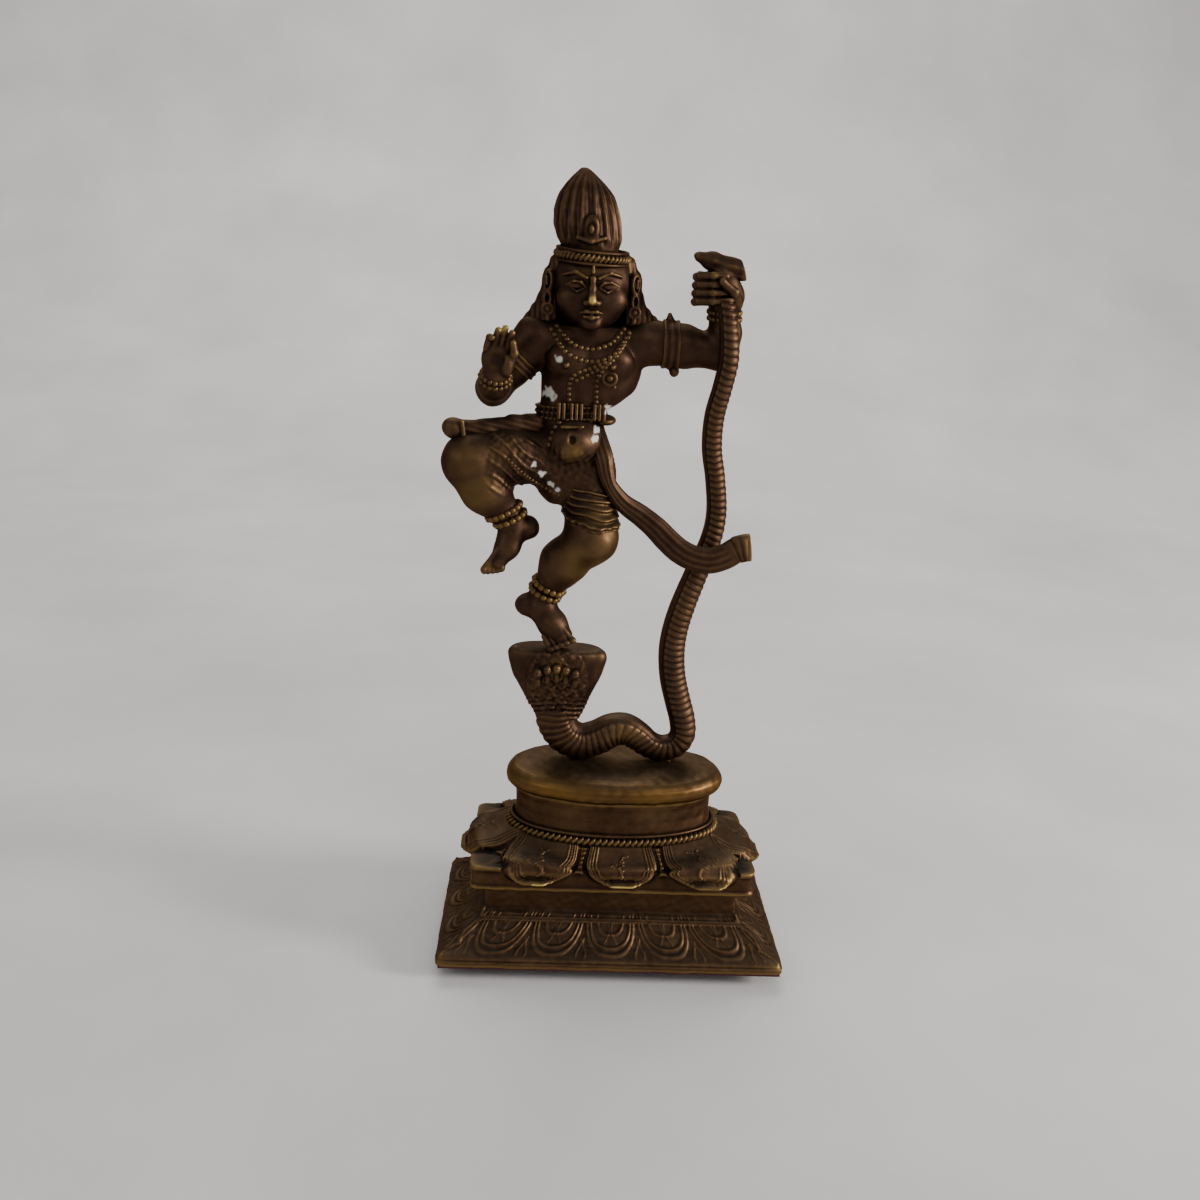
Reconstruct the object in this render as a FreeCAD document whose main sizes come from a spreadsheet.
import FreeCAD, Part
import Sketcher
import math
import os

# A cast brass dancer who stands on a cobra's hood and holds up its tail.
# Millimetres. The front of the figure faces -Y, +X is the figure's left, +Z is up.
# The origin is the middle of the felt pad's underside, on the surface that the figure stands on.

Vector = FreeCAD.Vector
UP = Vector(0, 0, 1)

doc = FreeCAD.newDocument("serpent_dancer")
sheet = doc.addObject("Spreadsheet::Sheet", "Sizes")

# ---------------------------------------------------------------- driving dimensions
LENGTHS = {
    # base
    "base_width": 116.0,
    "base_depth": 70.0,
    "felt_thickness": 0.8,
    "felt_inset": 1.0,
    "lip_height": 4.0,
    "skirt_start_inset": 1.2,
    "skirt_middle_inset": 8.8,
    "skirt_middle_height": 9.5,
    "skirt_top_height": 15.0,
    "plinth_neck_inset": 15.2,
    "plinth_height": 23.6,
    "plinth_wall": 4.0,
    "plinth_web": 4.6,
    "tier_inset": 10.4,
    "tier_slab_height": 8.2,
    "tier_height": 14.6,
    "tier_wall": 5.0,
    "tier_web": 4.0,
    "dome_foot_half_width": 46.0,
    "dome_foot_half_depth": 24.2,
    "dome_top_half_width": 36.8,
    "dome_top_half_depth": 20.6,
    "neck_half_width": 34.2,
    "neck_half_depth": 17.8,
    "neck_height": 15.0,
    "neck_wall": 5.0,
    "rope_width": 2.4,
    "rope_height": 3.0,
    "rope_gap": 0.1,
    "slab_half_width": 37.0,
    "slab_half_depth": 20.6,
    "slab_thickness": 8.0,
    "slab_rim_radius": 3.4,
    # tie rod
    "rod_radius": 3.0,
    "rod_clearance": 0.25,
    "rod_bite": 6.0,
    "rod_tail": 9.0,
    "washer_radius": 7.0,
    "washer_thickness": 1.2,
    "nut_radius": 5.6,
    "nut_height": 5.0,
    # dowels
    "dowel_radius": 1.2,
    "dowel_clearance": 0.05,
    "dowel_half_length": 4.0,
    "rivet_half_length": 3.6,
    # serpent
    "coil_radius": 4.6,
    "tail_low_radius": 4.1,
    "tail_high_radius": 3.0,
    "hood_top_half_width": 16.2,
    "hood_wide_half_width": 16.6,
    "hood_mid_half_width": 13.4,
    "hood_low_half_width": 8.4,
    "hood_top_half_depth": 7.4,
    "hood_wide_half_depth": 7.2,
    "hood_mid_half_depth": 6.2,
    "hood_low_half_depth": 5.6,
    "cobra_head_radius": 1.9,
    # legs
    "thigh_radius": 9.0,
    "raised_thigh_radius": 8.2,
    "knee_radius": 8.0,
    "raised_knee_radius": 8.6,
    "calf_radius": 7.2,
    "ankle_radius": 4.2,
    "heel_radius": 4.2,
    "instep_radius": 4.0,
    "toe_radius": 2.7,
    "pleat_ring": 9.9,
    "pleat_wire": 1.1,
    # hips and chest
    "groin_half_width": 9.0,
    "groin_half_depth": 7.0,
    "hip_half_width": 12.4,
    "hip_half_depth": 9.6,
    "belly_half_width": 10.8,
    "belly_half_depth": 10.4,
    "waist_half_width": 10.2,
    "waist_half_depth": 7.4,
    "ribs_half_width": 14.4,
    "ribs_half_depth": 8.8,
    "breast_half_width": 15.6,
    "breast_half_depth": 9.2,
    "collar_half_width": 14.0,
    "collar_half_depth": 6.4,
    # arms
    "shoulder_radius": 6.6,
    "elbow_radius": 4.8,
    "wrist_radius": 4.0,
    "palm_half_width": 4.6,
    "palm_half_depth": 2.6,
    "palm_half_height": 6.2,
    "finger_radius": 1.35,
    "fist_radius": 6.0,
    "knuckle_radius": 5.6,
    # head
    "head_half_width": 12.8,
    "head_half_depth": 11.8,
    "head_half_height": 12.4,
    "ear_half_width": 1.9,
    "ear_half_depth": 2.4,
    "ear_half_height": 4.6,
    "earring_radius": 2.2,
    "lock_radius": 3.2,
    "back_hair_half_width": 11.0,
    "back_hair_half_depth": 3.4,
    "back_hair_half_height": 10.0,
    "band_ring": 13.6,
    "band_wire": 1.5,
    "dome_low_half_width": 9.4,
    "dome_mid_half_width": 10.3,
    "dome_high_half_width": 7.4,
    "dome_tip_half_width": 1.6,
    # dress and ornaments
    "cloth_roll_radius": 3.4,
    "cloth_knob_radius": 4.2,
    "sash_width": 8.6,
    "sash_thickness": 3.4,
    "belt_wall": 1.6,
    "belt_height": 3.4,
    "belt_lift": 0.4,
    "ornament_gap": 0.12,
    "necklace_ring": 13.6,
    "necklace_wire": 1.6,
    "chain_wire": 1.3,
    "boss_radius": 2.6,
    "boss_height": 2.2,
    "armlet_ring": 7.5,
    "armlet_wire": 1.4,
    "bracelet_ring": 5.6,
    "bracelet_wire": 1.1,
    "anklet_ring": 6.2,
    "anklet_wire": 1.2,
}

# Places of the joints and ends of the limbs, from the origin.
POINTS = {
    "hood_low": (-20.0, 2.5, 77.0),
    "hood_mid": (-21.0, 2.0, 88.0),
    "hood_wide": (-21.4, 1.8, 96.5),
    "hood_top": (-21.4, 1.8, 101.4),
    "left_toe": (-18.6, -2.0, 104.4),
    "left_heel": (-31.6, 4.4, 114.6),
    "left_instep": (-24.0, 0.6, 110.6),
    "left_ankle": (-26.0, 3.0, 120.6),
    "left_calf": (-21.4, 0.6, 130.0),
    "left_knee": (-11.6, -5.0, 140.4),
    "left_hip": (-14.0, 2.4, 159.0),
    "right_hip": (-27.0, 2.4, 165.4),
    "right_knee": (-51.6, -5.4, 164.4),
    "right_calf": (-46.0, -4.4, 155.6),
    "right_ankle": (-38.6, -2.6, 146.8),
    "right_heel": (-32.6, -0.6, 143.2),
    "right_instep": (-38.8, -4.0, 137.0),
    "right_toe": (-43.4, -6.6, 129.4),
    "groin": (-20.4, 2.6, 153.6),
    "hips": (-18.4, 2.6, 164.4),
    "belly": (-19.6, 0.8, 173.0),
    "waist": (-19.4, 2.2, 181.0),
    "ribs": (-15.6, 2.2, 188.6),
    "breast": (-14.4, 2.0, 198.4),
    "collar": (-15.0, 3.0, 206.6),
    "right_shoulder": (-32.8, 2.8, 202.4),
    "right_elbow": (-45.4, 1.2, 186.4),
    "right_wrist": (-43.6, -8.6, 191.4),
    "right_palm": (-43.2, -11.2, 198.0),
    "right_fingers": (-41.4, -12.4, 205.6),
    "left_shoulder": (3.4, 2.8, 202.6),
    "left_elbow": (26.2, 2.0, 200.6),
    "left_wrist": (26.0, 0.6, 213.4),
    "fist_heel": (25.6, -0.6, 219.0),
    "fist_knuckles": (21.0, -3.0, 219.8),
    "head": (-15.4, 1.0, 219.0),
    "headband": (-15.8, 1.0, 228.6),
    "dome_low": (-16.2, 1.4, 230.4),
    "dome_mid": (-17.4, 1.8, 238.6),
    "dome_high": (-18.4, 2.2, 247.4),
    "dome_tip": (-19.1, 2.4, 254.0),
    "roll_start": (-33.6, -1.6, 176.6),
    "roll_end": (-56.6, -4.6, 174.6),
    "rivet_near": (-14.0, 2.5, 0.0),
    "rivet_far": (18.4, 2.5, 0.0),
}

row = 0
for name, value in LENGTHS.items():
    row += 1
    sheet.set("A%d" % row, str(value))
    sheet.setAlias("A%d" % row, name)
for name, place in POINTS.items():
    for axis, value in zip("xyz", place):
        row += 1
        sheet.set("A%d" % row, str(value))
        sheet.setAlias("A%d" % row, name + "_" + axis)
doc.recompute()


def size(name):
    return float(sheet.get(name))


def at(name):
    return Vector(size(name + "_x"), size(name + "_y"), size(name + "_z"))


# ---------------------------------------------------------------- solids bound to the sheet
def cell(text):
    """Put the sheet's name in front of each alias of an expression, written as {alias}."""
    return text.replace("{", "Sizes.").replace("}", "")


def bound(kind, **sizes):
    made = doc.addObject("Part::" + kind, kind)
    for prop, text in sizes.items():
        made.setExpression(prop, cell(text))
    return made


def place(made, point, turn=None):
    """Bind an object's position to a point of the sheet and turn it."""
    if turn:
        made.Placement = FreeCAD.Placement(Vector(), turn)
    for axis in "xyz":
        made.setExpression("Placement.Base." + axis, "Sizes." + point + "_" + axis)
    return made


def shift(made, x, y, z, turn=None):
    """Bind an object's position to three expressions."""
    if turn:
        made.Placement = FreeCAD.Placement(Vector(), turn)
    for axis, text in zip("xyz", (x, y, z)):
        made.setExpression("Placement.Base." + axis, cell(text))
    return made


def facing(direction):
    return FreeCAD.Rotation(UP, direction)


# A neighbour is cut away with a solid grown by the small gap that is left between two pieces.
EXACT = "{%s}"
GROWN = "{%s} + {ornament_gap}"


def ball(point, radius, fit=EXACT):
    return place(bound("Sphere", Radius=fit % radius), point)


def egg(point, half_x, half_y, half_z, turn=None, fit=EXACT):
    made = bound("Ellipsoid", Radius2=fit % half_x, Radius3=fit % half_y, Radius1=fit % half_z)
    return place(made, point, turn)


def span(start, end):
    """The expression of the distance between two points of the sheet."""
    squares = ["({%s_%s} - {%s_%s})^2" % (end, axis, start, axis) for axis in "xyz"]
    return "sqrt(" + " + ".join(squares) + ")"


def taper(start, end, start_radius, end_radius, fit=EXACT):
    made = bound("Cone", Radius1=fit % start_radius, Radius2=fit % end_radius, Height=span(start, end))
    return place(made, start, facing(at(end) - at(start)))


def ring(point, direction, ring_radius, wire_radius):
    made = bound("Torus", Radius1=ring_radius, Radius2=wire_radius)
    return place(made, point, facing(direction))


def half_ring(point, direction, ring_radius, wire_radius):
    """The front half of a ring."""
    made = ring(point, direction, ring_radius, wire_radius)
    made.Angle3 = 180
    turned = made.Placement.Rotation.multiply(FreeCAD.Rotation(UP, 180))
    made.Placement = FreeCAD.Placement(made.Placement.Base, turned)
    return made


def oval(half_x, half_y, z):
    made = bound("Ellipse", MajorRadius=half_x, MinorRadius=half_y)
    return shift(made, "0", "0", z)


def oval_prism(half_x, half_y, z, height):
    made = doc.addObject("Part::Extrusion", "OvalPrism")
    made.Base = oval(half_x, half_y, z)
    made.DirMode = "Custom"
    made.Dir = UP
    made.Solid = True
    made.setExpression("LengthFwd", cell(height))
    return made


def box(width, depth, height, z, x="0", y="0"):
    """A box centred on x and y that stands on z."""
    made = bound("Box", Length=width, Width=depth, Height=height)
    return shift(made, "%s - (%s) / 2" % (x, width), "%s - (%s) / 2" % (y, depth), z)


def lofted(stations, fit=EXACT):
    """A solid through level ovals, each given as a point and the names of its two half sizes."""
    made = doc.addObject("Part::Loft", "Loft")
    sections = []
    for point, half_x, half_y in stations:
        section = bound("Ellipse", MajorRadius=fit % half_x, MinorRadius=fit % half_y)
        sections.append(place(section, point))
    made.Sections = sections
    made.Solid = True
    return made


def together(*pieces):
    made = doc.addObject("Part::MultiFuse", "Union")
    made.Shapes = list(pieces)
    return made


def less(base, *tools):
    for tool in tools:
        made = doc.addObject("Part::Cut", "Cut")
        made.Base = base
        made.Tool = tool
        base = made
    return base


def limb(stations, fit=EXACT):
    """Balls at the given points with cones between them; each station is a point and a radius name."""
    pieces = [ball(point, radius, fit) for point, radius in stations]
    for (start, start_radius), (end, end_radius) in zip(stations, stations[1:]):
        pieces.append(taper(start, end, start_radius, end_radius, fit))
    return together(*pieces)


nodes = {}


def node(name, made):
    made.Label = name
    nodes[name] = made
    return made


# ---------------------------------------------------------------- joints between castings
# Each joint is a flat seat through a point, with a dowel across it. One casting keeps what lies before the
# seat, the other what lies past it, and both are drilled for the dowel.
HALF_SPACE = 160.0
JOINTS = {
    "hood_foot": (Vector(-20.0, 2.5, 77.0), Vector(0, 0, 1)),
    "tail_root": (Vector(21.1, 2.5, 80.0), Vector(0, 0, 1)),
    "tail_middle": (Vector(27.4, 2.5, 138.0), Vector(0.2, 0, 1)),
    "sole": (Vector(-19.6, 0.2, 101.4), Vector(0, 0, 1)),
    "left_ankle": (Vector(-26.0, 3.0, 119.6), Vector(-0.3, 0.1, -1)),
    "left_hip": (Vector(-14.2, 1.6, 156.4), Vector(0.1, -0.3, -1)),
    "right_hip": (Vector(-31.6, 1.4, 165.4), Vector(-1, -0.2, 0)),
    "right_ankle": (Vector(-37.8, -2.6, 146.2), Vector(0.3, 0.1, -1)),
    "waist": (Vector(-19.4, 2.2, 181.0), Vector(0, 0, 1)),
    "neck": (Vector(-15.2, 2.6, 206.6), Vector(0, 0, 1)),
    "hair": (Vector(-16.2, 1.4, 230.4), Vector(0, 0, 1)),
    "right_shoulder": (Vector(-27.8, 2.8, 202.0), Vector(-1, 0, -0.1)),
    "right_elbow": (Vector(-45.0, -2.6, 188.2), Vector(0, -1, -0.3)),
    "left_shoulder": (Vector(-1.6, 4.6, 202.2), Vector(1, 0, 0)),
    "left_elbow": (Vector(24.5, 1.8, 204.2), Vector(0.75, 0, 0.66)),
    "left_wrist": (Vector(26.0, 0.8, 213.0), Vector(0, 0, 1)),
}


def half_space(point, direction):
    """A large box whose near face passes through point, and which lies on the side of direction."""
    made = doc.addObject("Part::Box", "HalfSpace")
    made.Length = made.Width = made.Height = HALF_SPACE
    turn = facing(direction)
    corner = point - turn.multVec(Vector(HALF_SPACE / 2, HALF_SPACE / 2, 0))
    made.Placement = FreeCAD.Placement(corner, turn)
    return made


def dowel(joint, radius):
    point, direction = JOINTS[joint]
    turn = facing(direction)
    made = bound("Cylinder", Radius=radius, Height="2 * {dowel_half_length}")
    made.Placement = FreeCAD.Placement(point - turn.multVec(UP * size("dowel_half_length")), turn)
    return made


def seated(made, before=(), past=()):
    """Cut a casting flat at its joints and drill it: it ends before some seats and starts past others."""
    for joint in before:
        point, direction = JOINTS[joint]
        made = less(made, half_space(point, direction))
    for joint in past:
        point, direction = JOINTS[joint]
        made = less(made, half_space(point, direction * -1))
    for joint in tuple(before) + tuple(past):
        made = less(made, dowel(joint, "{dowel_radius} + {dowel_clearance}"))
    return made


def arc_path(points, radii):
    """Straight runs through the points, with a tangent arc at each inner point."""
    edges = []
    start = points[0]
    for before, corner, after, radius in zip(points, points[1:], points[2:], radii):
        back = (before - corner).normalize()
        onward = (after - corner).normalize()
        half_turn = (math.pi - back.getAngle(onward)) / 2
        reach = radius * math.tan(half_turn)
        inward = (back + onward).normalize()
        middle = corner + inward * (radius / math.cos(half_turn) - radius)
        first = corner + back * reach
        last = corner + onward * reach
        edges.append(Part.LineSegment(start, first).toShape())
        edges.append(Part.Arc(first, middle, last).toShape())
        start = last
    edges.append(Part.LineSegment(start, points[-1]).toShape())
    return Part.Wire(edges)


def widest_radii(points):
    """For each inner point, 0.45 of the shorter run divided by the tangent of half the turn."""
    radii = []
    for before, corner, after in zip(points, points[1:], points[2:]):
        turn = (corner - before).getAngle(after - corner)
        shorter = min(before.distanceToPoint(corner), after.distanceToPoint(corner))
        radii.append(0.45 * shorter / math.tan(turn / 2))
    return radii


def swept(points, section):
    """A solid along the path of points; section is a wire made at the first point for a direction."""
    path = arc_path(points, widest_radii(points))
    made = doc.addObject("Part::Feature", "Swept")
    made.Shape = path.makePipeShell([section(points[0], points[1] - points[0])], True, False)
    return made


def round_section(radius):
    return lambda place, direction: Part.Wire(Part.Circle(place, direction, radius).toShape())


# ---------------------------------------------------------------- base
lift = "{felt_thickness}"
plinth_top = "{plinth_height}"
tier_top = "({plinth_height} + {tier_height})"
neck_top = "({plinth_height} + {tier_height} + {neck_height})"
slab_top = "({plinth_height} + {tier_height} + {neck_height} + {slab_thickness})"

node("felt_pad", box("{base_width} - 2 * {felt_inset}", "{base_depth} - 2 * {felt_inset}", lift, "0"))


def plinth_body():
    """The plinth's outside: a lip, a concave skirt and a short neck, as one PartDesign body."""
    body = doc.addObject("PartDesign::Body", "PlinthBody")
    ground = [f for f in body.Origin.OriginFeatures if f.Role == "XY_Plane"][0]

    def rectangle(name, inset, height):
        sketch = body.newObject("Sketcher::SketchObject", name)
        sketch.AttachmentSupport = [(ground, "")]
        sketch.MapMode = "FlatFace"
        sketch.setExpression("AttachmentOffset.Base.z", cell(height))
        x = size("base_width") / 2 - 20
        y = size("base_depth") / 2 - 20
        corners = [Vector(-x, -y, 0), Vector(x, -y, 0), Vector(x, y, 0), Vector(-x, y, 0)]
        for start, end in zip(corners, corners[1:] + corners[:1]):
            sketch.addGeometry(Part.LineSegment(start, end), False)
        for line in range(4):
            sketch.addConstraint(Sketcher.Constraint("Coincident", line, 2, (line + 1) % 4, 1))
        for line, way in enumerate(("Horizontal", "Vertical", "Horizontal", "Vertical")):
            sketch.addConstraint(Sketcher.Constraint(way, line))
        sketch.addConstraint(Sketcher.Constraint("Symmetric", 0, 1, 2, 1, -1, 1))
        width = sketch.addConstraint(Sketcher.Constraint("DistanceX", 0, 1, 0, 2, 2 * x))
        depth = sketch.addConstraint(Sketcher.Constraint("DistanceY", 1, 1, 1, 2, 2 * y))
        sketch.setExpression("Constraints[%d]" % width, cell("{base_width} - 2 * (%s)" % inset))
        sketch.setExpression("Constraints[%d]" % depth, cell("{base_depth} - 2 * (%s)" % inset))
        return sketch

    lip = body.newObject("PartDesign::Pad", "Lip")
    lip.Profile = rectangle("LipOutline", "0", lift)
    lip.setExpression("Length", cell("{lip_height} - {felt_thickness}"))
    skirt = body.newObject("PartDesign::AdditiveLoft", "Skirt")
    skirt.Profile = rectangle("SkirtFoot", "{skirt_start_inset}", "{lip_height}")
    skirt.Sections = [
        rectangle("SkirtMiddle", "{skirt_middle_inset}", "{skirt_middle_height}"),
        rectangle("SkirtTop", "{plinth_neck_inset}", "{skirt_top_height}"),
    ]
    neck = body.newObject("PartDesign::Pad", "PlinthNeck")
    neck.Profile = rectangle("NeckOutline", "{plinth_neck_inset}", "{skirt_top_height}")
    neck.setExpression("Length", cell("{plinth_height} - {skirt_top_height}"))
    body.Tip = neck
    return body


rod_hole = "{rod_radius} + {rod_clearance}"
inner = "2 * ({plinth_neck_inset} + {plinth_wall})"
plinth_room = box(
    "{base_width} - " + inner, "{base_depth} - " + inner,
    "{plinth_height} - {plinth_web} - {felt_thickness}", lift,
)
rod_way = shift(bound("Cylinder", Radius=rod_hole, Height=neck_top), "0", "0", "0")
node("plinth", less(plinth_body(), plinth_room, rod_way))


dome = doc.addObject("Part::Loft", "TierDome")
dome.Sections = [
    oval("{dome_foot_half_width}", "{dome_foot_half_depth}", plinth_top + " + {tier_slab_height}"),
    oval("{dome_top_half_width}", "{dome_top_half_depth}", tier_top),
]
dome.Solid = True
tier_block = box("{base_width} - 2 * {tier_inset}", "{base_depth} - 2 * {tier_inset}",
                 "{tier_slab_height}", plinth_top)
tier_room = oval_prism(
    "{dome_top_half_width} - {tier_wall}", "{dome_top_half_depth} - {tier_wall}",
    plinth_top, "{tier_height} - {tier_web}",
)
node("lotus_tier", less(together(tier_block, dome), tier_room, rod_way))

node("rope_moulding", less(
    oval_prism(
        "{neck_half_width} + {rope_gap} + {rope_width}", "{neck_half_depth} + {rope_gap} + {rope_width}",
        tier_top, "{rope_height}",
    ),
    oval_prism("{neck_half_width} + {rope_gap}", "{neck_half_depth} + {rope_gap}",
               tier_top, "{rope_height}"),
))

neck_room = oval_prism(
    "{neck_half_width} - {neck_wall}", "{neck_half_depth} - {neck_wall}",
    tier_top, "{neck_height} - {neck_wall}",
)
node("oval_neck", less(
    oval_prism("{neck_half_width}", "{neck_half_depth}", tier_top, "{neck_height}"), neck_room, rod_way,
))

slab_block = oval_prism("{slab_half_width}", "{slab_half_depth}", neck_top, "{slab_thickness}")
doc.recompute()
slab_rim = doc.addObject("Part::Fillet", "SlabRim")
slab_rim.Base = slab_block
rims = [n for n, edge in enumerate(slab_block.Shape.Edges, 1) if len(edge.Vertexes) == 1]
slab_rim.Edges = [(n, size("slab_rim_radius"), size("slab_rim_radius")) for n in rims]
rod_seat = shift(bound("Cylinder", Radius="{rod_radius}", Height="{rod_bite}"), "0", "0", neck_top)


def rivet(point, radius):
    """A rivet's shank from under the slab's top up into the serpent."""
    made = bound("Cylinder", Radius=radius, Height="2 * {rivet_half_length}")
    return shift(made, "{%s_x}" % point, "{%s_y}" % point, slab_top + " - {rivet_half_length}")


RIVET_POINTS = ("rivet_near", "rivet_far")
rivet_hole = "{dowel_radius} + {dowel_clearance}"
node("oval_slab", less(slab_rim, rod_seat, *[rivet(point, rivet_hole) for point in RIVET_POINTS]))
node("serpent_rivets", together(*[rivet(point, "{dowel_radius}") for point in RIVET_POINTS]))

web_under = "({plinth_height} - {plinth_web})"
rod_length = "{plinth_web} + {rod_tail} + {tier_height} + {neck_height} + {rod_bite}"
node("tie_rod", shift(
    bound("Cylinder", Radius="{rod_radius}", Height=rod_length), "0", "0", web_under + " - {rod_tail}",
))
washer = shift(bound("Cylinder", Radius="{washer_radius}", Height="{washer_thickness}"),
               "0", "0", web_under + " - {washer_thickness}")
node("rod_washer", less(washer, rod_way))
nut = bound("Prism", Circumradius="{nut_radius}", Height="{nut_height}")
nut.Polygon = 6
shift(nut, "0", "0", web_under + " - {washer_thickness} - {nut_height}")
node("rod_nut", less(nut, shift(bound("Cylinder", Radius="{rod_radius}", Height=neck_top), "0", "0", "0")))

# ---------------------------------------------------------------- serpent
slab_height = size("plinth_height") + size("tier_height") + size("neck_height") + size("slab_thickness")
coil_radius = size("coil_radius")
coil_line = slab_height + coil_radius + 0.05
COIL = [
    Vector(-20.0, 2.5, 77.0),
    Vector(-20.0, 2.5, coil_line),
    Vector(-8.6, 2.5, coil_line),
    Vector(-1.0, 2.5, 74.6),
    Vector(7.6, 2.5, 71.0),
    Vector(12.6, 2.5, coil_line),
    Vector(23.6, 2.5, coil_line),
    Vector(21.0, 2.5, 81.0),
]
TAIL_LOW = [
    Vector(21.2, 2.5, 79.0),
    Vector(18.8, 2.5, 88.0),
    Vector(17.0, 2.5, 102.0),
    Vector(19.6, 2.5, 117.0),
    Vector(24.6, 2.5, 130.0),
    Vector(27.7, 2.5, 139.0),
]
TAIL_HIGH = [
    Vector(27.1, 2.5, 137.0),
    Vector(29.2, 2.2, 148.0),
    Vector(27.0, 1.0, 162.0),
    Vector(24.4, -1.2, 175.0),
    Vector(26.0, -4.0, 190.0),
    Vector(27.6, -7.2, 202.0),
    Vector(25.6, -7.0, 215.6),
]


coil = swept(COIL, round_section(coil_radius))
coil_holes = [rivet(point, rivet_hole) for point in RIVET_POINTS]
coil_holes.append(dowel("hood_foot", rivet_hole))
node("serpent_body", seated(less(coil, *coil_holes), before=("tail_root",)))
tail_low = swept(TAIL_LOW, round_section(size("tail_low_radius")))
node("serpent_tail_low", seated(tail_low, past=("tail_root",), before=("tail_middle",)))
tail_high = swept(TAIL_HIGH, round_section(size("tail_high_radius")))
node("serpent_tail_high", seated(tail_high, past=("tail_middle",)))

TAIL_TIP = (Vector(22.0, -1.4, 225.6), Vector(30.6, -2.4, 226.4))
tip = doc.addObject("Part::Cone", "TailTip")
tip.setExpression("Radius1", "Sizes.tail_high_radius - 0.4")
tip.setExpression("Radius2", "Sizes.tail_high_radius + 0.2")
tip.Height = (TAIL_TIP[1] - TAIL_TIP[0]).Length
tip.Placement = FreeCAD.Placement(TAIL_TIP[0], facing(TAIL_TIP[1] - TAIL_TIP[0]))
FIST = [("fist_heel", "fist_radius"), ("fist_knuckles", "knuckle_radius")]
node("serpent_tail_tip", less(tip, limb(FIST, GROWN)))

HOOD = [
    ("hood_low", "hood_low_half_width", "hood_low_half_depth"),
    ("hood_mid", "hood_mid_half_width", "hood_mid_half_depth"),
    ("hood_wide", "hood_wide_half_width", "hood_wide_half_depth"),
    ("hood_top", "hood_top_half_width", "hood_top_half_depth"),
]
node("serpent_hood", seated(lofted(HOOD), past=("hood_foot",), before=("sole",)))

HEADS = 5
HEAD_STEP = 4.4
head_row = []
for count in range(HEADS):
    lean = count - (HEADS - 1) / 2
    made = bound("Ellipsoid", Radius1="{cobra_head_radius} * 1.3", Radius2="{cobra_head_radius}",
                 Radius3="{cobra_head_radius}")
    head_row.append(shift(
        made, "{hood_wide_x} + %.2f" % (lean * HEAD_STEP),
        "{hood_wide_y} - {hood_wide_half_depth} + %.2f" % (lean ** 2 * 0.35),
        "{hood_mid_z} + %.2f" % (5.6 - lean ** 2 * 0.5),
    ))
node("cobra_heads", less(together(*head_row), lofted(HOOD, GROWN)))

# ---------------------------------------------------------------- legs
LEFT_LEG = [("left_hip", "thigh_radius"), ("left_knee", "knee_radius"), ("left_calf", "calf_radius"),
            ("left_ankle", "ankle_radius")]
LEFT_FOOT = [("left_ankle", "ankle_radius"), ("left_heel", "heel_radius"), ("left_instep", "instep_radius"),
             ("left_toe", "toe_radius")]
RIGHT_LEG = [("right_hip", "raised_thigh_radius"), ("right_knee", "raised_knee_radius"),
             ("right_calf", "calf_radius"), ("right_ankle", "ankle_radius")]
RIGHT_FOOT = [("right_ankle", "ankle_radius"), ("right_heel", "heel_radius"),
              ("right_instep", "instep_radius"), ("right_toe", "toe_radius")]

node("standing_leg", seated(limb(LEFT_LEG), past=("left_hip",), before=("left_ankle",)))
node("standing_foot", seated(limb(LEFT_FOOT), past=("left_ankle", "sole")))
node("raised_leg", seated(limb(RIGHT_LEG), past=("right_hip",), before=("right_ankle",)))
node("raised_foot", seated(limb(RIGHT_FOOT), past=("right_ankle",)))

# ---------------------------------------------------------------- hips, chest and head
HIPS = [("groin", "groin_half_width", "groin_half_depth"), ("hips", "hip_half_width", "hip_half_depth"),
        ("belly", "belly_half_width", "belly_half_depth"), ("waist", "waist_half_width", "waist_half_depth")]
CHEST = [("waist", "waist_half_width", "waist_half_depth"), ("ribs", "ribs_half_width", "ribs_half_depth"),
         ("breast", "breast_half_width", "breast_half_depth"),
         ("collar", "collar_half_width", "collar_half_depth")]
HEAD = ("head", "head_half_width", "head_half_depth", "head_half_height")


def hip_solid(fit=EXACT):
    return together(lofted(HIPS, fit), ball("right_hip", "raised_thigh_radius", fit))


node("hips", seated(hip_solid(), before=("waist", "left_hip", "right_hip")))
node("chest", seated(lofted(CHEST), past=("waist",), before=("neck", "right_shoulder", "left_shoulder")))
node("head", seated(egg(*HEAD), past=("neck",), before=("hair",)))
hair_dome = lofted([
    ("dome_low", "dome_low_half_width", "dome_low_half_width"),
    ("dome_mid", "dome_mid_half_width", "dome_mid_half_width"),
    ("dome_high", "dome_high_half_width", "dome_high_half_width"),
    ("dome_tip", "dome_tip_half_width", "dome_tip_half_width"),
])
node("hair_dome", seated(hair_dome, past=("hair",)))

# ---------------------------------------------------------------- arms
RIGHT_UPPER_ARM = [("right_shoulder", "shoulder_radius"), ("right_elbow", "elbow_radius")]
RIGHT_FOREARM = [("right_elbow", "elbow_radius"), ("right_wrist", "wrist_radius")]
LEFT_UPPER_ARM = [("left_shoulder", "shoulder_radius"), ("left_elbow", "elbow_radius")]
LEFT_FOREARM = [("left_elbow", "elbow_radius"), ("left_wrist", "wrist_radius")]
PALM = ("right_palm", "palm_half_width", "palm_half_depth", "palm_half_height")

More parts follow.
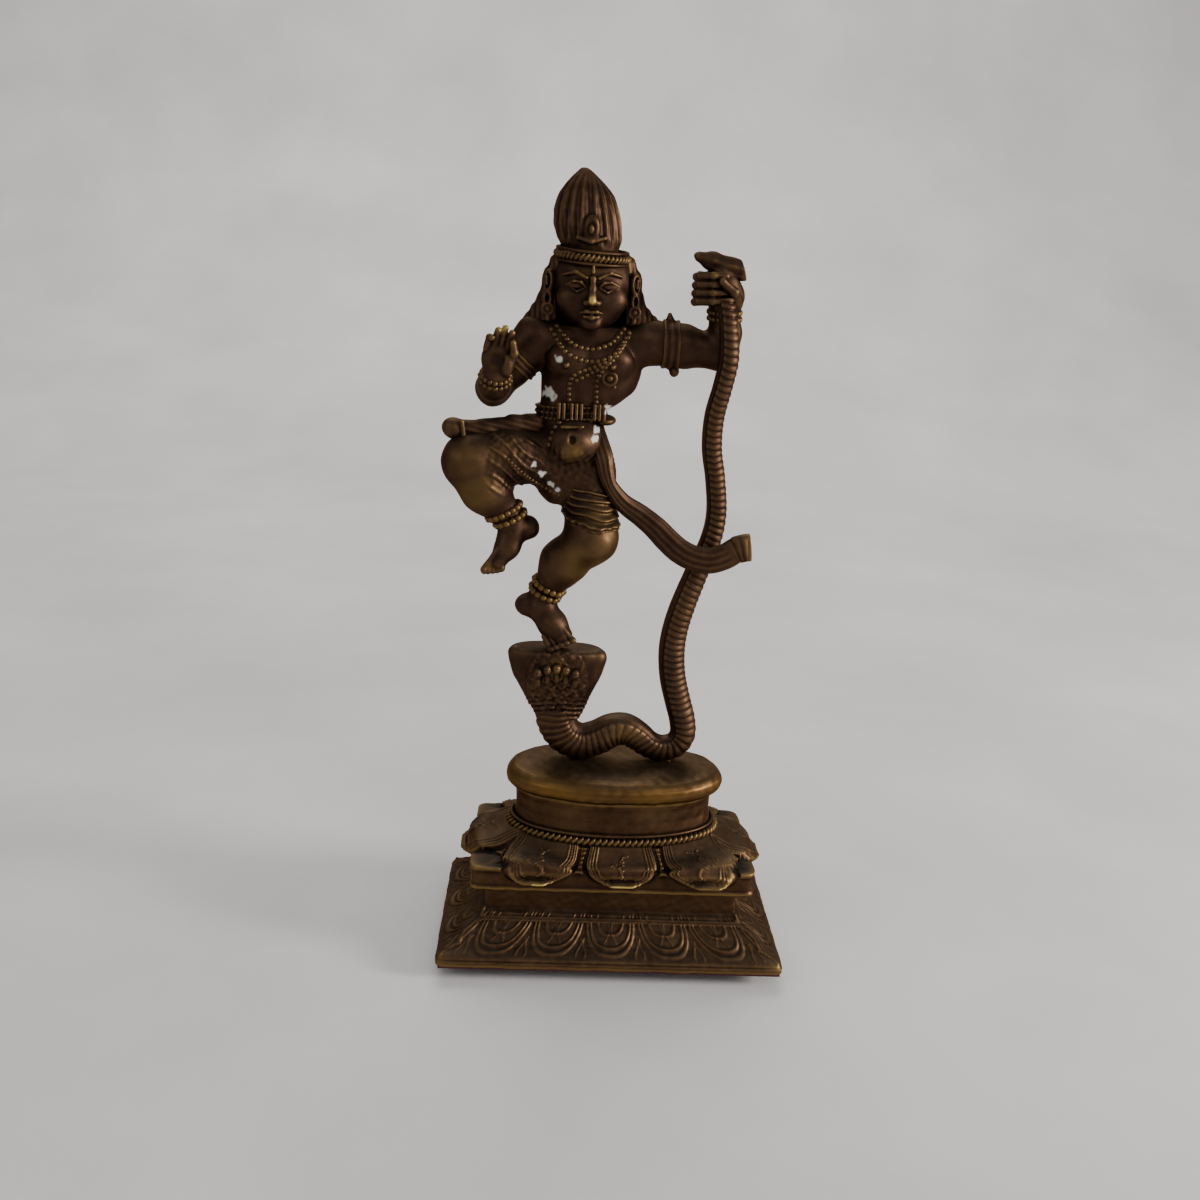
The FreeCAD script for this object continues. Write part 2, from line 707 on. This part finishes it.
node("right_upper_arm", seated(limb(RIGHT_UPPER_ARM), past=("right_shoulder",), before=("right_elbow",)))
open_hand = together(
    limb(RIGHT_FOREARM), egg(*PALM), taper("right_palm", "right_fingers", "palm_half_depth", "finger_radius"),
    ball("right_fingers", "finger_radius"),
)
node("right_forearm_hand", seated(open_hand, past=("right_elbow",)))
node("left_upper_arm", seated(limb(LEFT_UPPER_ARM), past=("left_shoulder",), before=("left_elbow",)))
node("left_forearm", seated(limb(LEFT_FOREARM), past=("left_elbow",), before=("left_wrist",)))

tail_socket = bound("Cylinder", Radius="{tail_high_radius} + {ornament_gap}", Height="{fist_radius} * 2")
tail_socket.Placement = FreeCAD.Placement(TAIL_HIGH[-1], facing(TAIL_HIGH[-2] - TAIL_HIGH[-1]))
node("left_fist", less(seated(limb(FIST), past=("left_wrist",)), tail_socket))

# ---------------------------------------------------------------- hair and head ornaments
head_gap = egg(*HEAD, fit=GROWN)
chest_gap = lofted(CHEST, GROWN)
arm_gap = limb(RIGHT_UPPER_ARM, GROWN)
for name, side in (("right_ear", -1), ("left_ear", 1)):
    ear = bound("Ellipsoid", Radius2="{ear_half_width}", Radius3="{ear_half_depth}",
                Radius1="{ear_half_height}")
    seam_outwards = FreeCAD.Rotation(UP, 90 - 90 * side)
    ear_x = "{head_x} + %d * ({head_half_width} + 0.4)" % side
    shift(ear, ear_x, "{head_y} + 0.6", "{head_z} - 1", seam_outwards)
    node(name, less(ear, head_gap))
earring_pair = []
for side in (-1, 1):
    drop = bound("Sphere", Radius="{earring_radius}")
    earring_pair.append(shift(drop, "{head_x} + %d * {head_half_width}" % side, "{head_y} - 0.6",
                              "{head_z} - {ear_half_height} - {earring_radius} - 1.4"))
node("earrings", less(together(*earring_pair), head_gap, chest_gap))

lock_pair = []
for side in (-1, 1):
    lock = bound("Ellipsoid", Radius2="{lock_radius}", Radius3="{lock_radius}", Radius1="{lock_radius} * 1.8")
    lock_x = "{head_x} + %d * ({head_half_width} + 0.6)" % side
    lock_pair.append(shift(lock, lock_x, "{head_y} + 6.4", "{head_z} - 7"))
node("side_locks", less(together(*lock_pair), head_gap, chest_gap, arm_gap))

back_hair = bound("Ellipsoid", Radius2="{back_hair_half_width}", Radius3="{back_hair_half_depth}",
                  Radius1="{back_hair_half_height}")
shift(back_hair, "{head_x}", "{head_y} + {head_half_depth}", "{head_z} - 6")
back_gap = together(*[
    shift(bound("Ellipsoid", Radius1="{lock_radius} * 1.8 + {ornament_gap}",
                Radius2="{lock_radius} + {ornament_gap}", Radius3="{lock_radius} + {ornament_gap}"),
          "{head_x} + %d * ({head_half_width} + 0.6)" % side, "{head_y} + 6.4", "{head_z} - 7")
    for side in (-1, 1)
])
node("back_hair", less(back_hair, head_gap, chest_gap, back_gap))

headband = less(
    ring("headband", Vector(-0.06, -0.04, 1), "{band_ring} - 3.4", "{band_wire}"),
    head_gap,
    lofted([
        ("dome_low", "dome_low_half_width", "dome_low_half_width"),
        ("dome_mid", "dome_mid_half_width", "dome_mid_half_width"),
    ], GROWN),
)
node("headband", headband)

# ---------------------------------------------------------------- dress
knob = ball("roll_end", "cloth_knob_radius")
roll = bound("Cylinder", Radius="{cloth_roll_radius}", Height=span("roll_start", "roll_end"))
place(roll, "roll_start", facing(at("roll_end") - at("roll_start")))
node("cloth_roll", less(
    together(roll, knob), limb(RIGHT_LEG, GROWN), hip_solid(GROWN), half_space(JOINTS["waist"][0], UP),
))

PLEATS = 4
left_thigh_way = at("left_knee") - at("left_hip")
pleat_rings = []
for count in range(PLEATS):
    made = bound("Torus", Radius1="{pleat_ring} + {pleat_wire} - 0.9", Radius2="{pleat_wire}")
    spot = at("left_hip") + left_thigh_way * (0.22 + 0.13 * count)
    made.Placement = FreeCAD.Placement(spot, facing(left_thigh_way))
    pleat_rings.append(made)

SASH = [
    Vector(-4.2, -1.0, 169.0),
    Vector(-1.6, -1.6, 158.0),
    Vector(4.0, -2.8, 148.6),
    Vector(12.0, -4.2, 141.4),
    Vector(22.0, -5.2, 136.0),
    Vector(31.0, -5.4, 136.4),
    Vector(38.4, -5.4, 140.2),
]


def band_section(width, thickness):
    """A flat oblong section, as wide as the band and as thick as its cloth, across the path's start."""
    def section(place, direction):
        across = direction.cross(Vector(0, 1, 0)).normalize() * (width / 2)
        depth = Vector(0, thickness / 2, 0)
        corners = [place - across - depth, place + across - depth,
                   place + across + depth, place - across + depth]
        return Part.makePolygon(corners + corners[:1])
    return section


sash = swept(SASH, band_section(size("sash_width"), size("sash_thickness")))
tail_gap = swept(TAIL_HIGH, round_section(size("tail_high_radius") + size("ornament_gap")))
low_tail_gap = swept(TAIL_LOW, round_section(size("tail_low_radius") + size("ornament_gap")))
sash_gap = swept(SASH, band_section(
    size("sash_width") + 2 * size("ornament_gap"), size("sash_thickness") + 2 * size("ornament_gap"),
))
node("thigh_pleats", less(
    together(*pleat_rings), limb(LEFT_LEG, GROWN), hip_solid(GROWN), limb(RIGHT_LEG, GROWN), sash_gap,
))
node("sash", less(sash, hip_solid(GROWN), limb(LEFT_LEG, GROWN), tail_gap, low_tail_gap))

# ---------------------------------------------------------------- ornaments
belt_block = oval_prism("{waist_half_width} + {belt_wall} + 1", "{waist_half_depth} + {belt_wall} + 1",
                        "0", "{belt_height}")
shift(belt_block, "{waist_x} + 0.6", "{waist_y}", "{waist_z} + {belt_lift}")
belt_bore = oval_prism("{waist_half_width} + 1.4", "{waist_half_depth} + 1.2", "0", "{belt_height}")
shift(belt_bore, "{waist_x} + 0.6", "{waist_y}", "{waist_z} + {belt_lift}")
node("belt", less(belt_block, belt_bore, chest_gap))
node("necklace", less(
    half_ring("collar", Vector(0, -0.6, 1), "{necklace_ring}", "{necklace_wire}"),
    chest_gap, head_gap, arm_gap, limb(LEFT_UPPER_ARM, GROWN),
))
boss_place = Vector(-9.6, -8.6, 192.4)
boss = bound("Cylinder", Radius="{boss_radius}", Height="{boss_height}")
boss.Placement = FreeCAD.Placement(boss_place, facing(Vector(0.25, -1, 0.1)))
chain = bound("Torus", Radius1="{breast_half_width} - 2.4", Radius2="{chain_wire}")
shift(chain, "{ribs_x} + 0.6", "{ribs_y} + 0.2", "{ribs_z} + 5", facing(Vector(0.62, -0.12, 1)))
boss_gap = bound("Cylinder", Radius="{boss_radius} + {ornament_gap}", Height="{boss_height} + 2")
boss_gap.Placement = FreeCAD.Placement(boss_place + Vector(-0.2, 0.8, 0), facing(Vector(0.25, -1, 0.1)))
node("breast_boss", less(boss, chest_gap))
necklace_gap = half_ring("collar", Vector(0, -0.6, 1), "{necklace_ring}", "{necklace_wire} + {ornament_gap}")
node("shoulder_chain", less(chain, chest_gap, arm_gap, limb(LEFT_UPPER_ARM, GROWN), boss_gap, necklace_gap))


def cuff(start, end, along, ornament):
    """A ring round a limb, part of the way along it, with the ornament's own ring and wire radius."""
    made = bound("Torus", Radius1="{%s_ring}" % ornament, Radius2="{%s_wire}" % ornament)
    way = at(end) - at(start)
    made.Placement = FreeCAD.Placement(at(start) + way * along, facing(way))
    return made


node("right_armlet", less(cuff("right_shoulder", "right_elbow", 0.42, "armlet"),
                          chest_gap, limb(RIGHT_FOREARM, GROWN)))
node("left_armlet", cuff("left_shoulder", "left_elbow", 0.4, "armlet"))
node("right_bracelet", less(cuff("right_elbow", "right_wrist", 0.78, "bracelet"),
                            egg(*PALM, fit=GROWN), arm_gap))
node("left_bracelet", less(cuff("left_elbow", "left_wrist", 0.7, "bracelet"), tail_gap))

node("left_anklet", less(cuff("left_ankle", "left_calf", 0.3, "anklet"), limb(LEFT_LEG, GROWN)))
node("right_anklet", less(cuff("right_ankle", "right_calf", 0.3, "anklet"), limb(RIGHT_LEG, GROWN)))

node("dowels", together(*[dowel(joint, "{dowel_radius}") for joint in JOINTS]))

# ---------------------------------------------------------------- check and write
doc.recompute()
for made in doc.Objects:
    if "Invalid" in made.State or "Error" in made.State:
        raise SystemExit("%s (%s) did not recompute: %s" % (made.Name, made.Label, made.State))
for name, made in nodes.items():
    shape = made.Shape
    if shape.isNull() or not shape.isValid() or not shape.Solids:
        raise SystemExit("%s has no valid solid" % name)
    print("%-20s %d solid(s) %9.1f mm3" % (name, len(shape.Solids), shape.Volume))

os.makedirs("parts", exist_ok=True)
for name, made in nodes.items():
    made.Shape.exportStep("parts/%s.step" % name)
print(len(nodes), "nodes written")
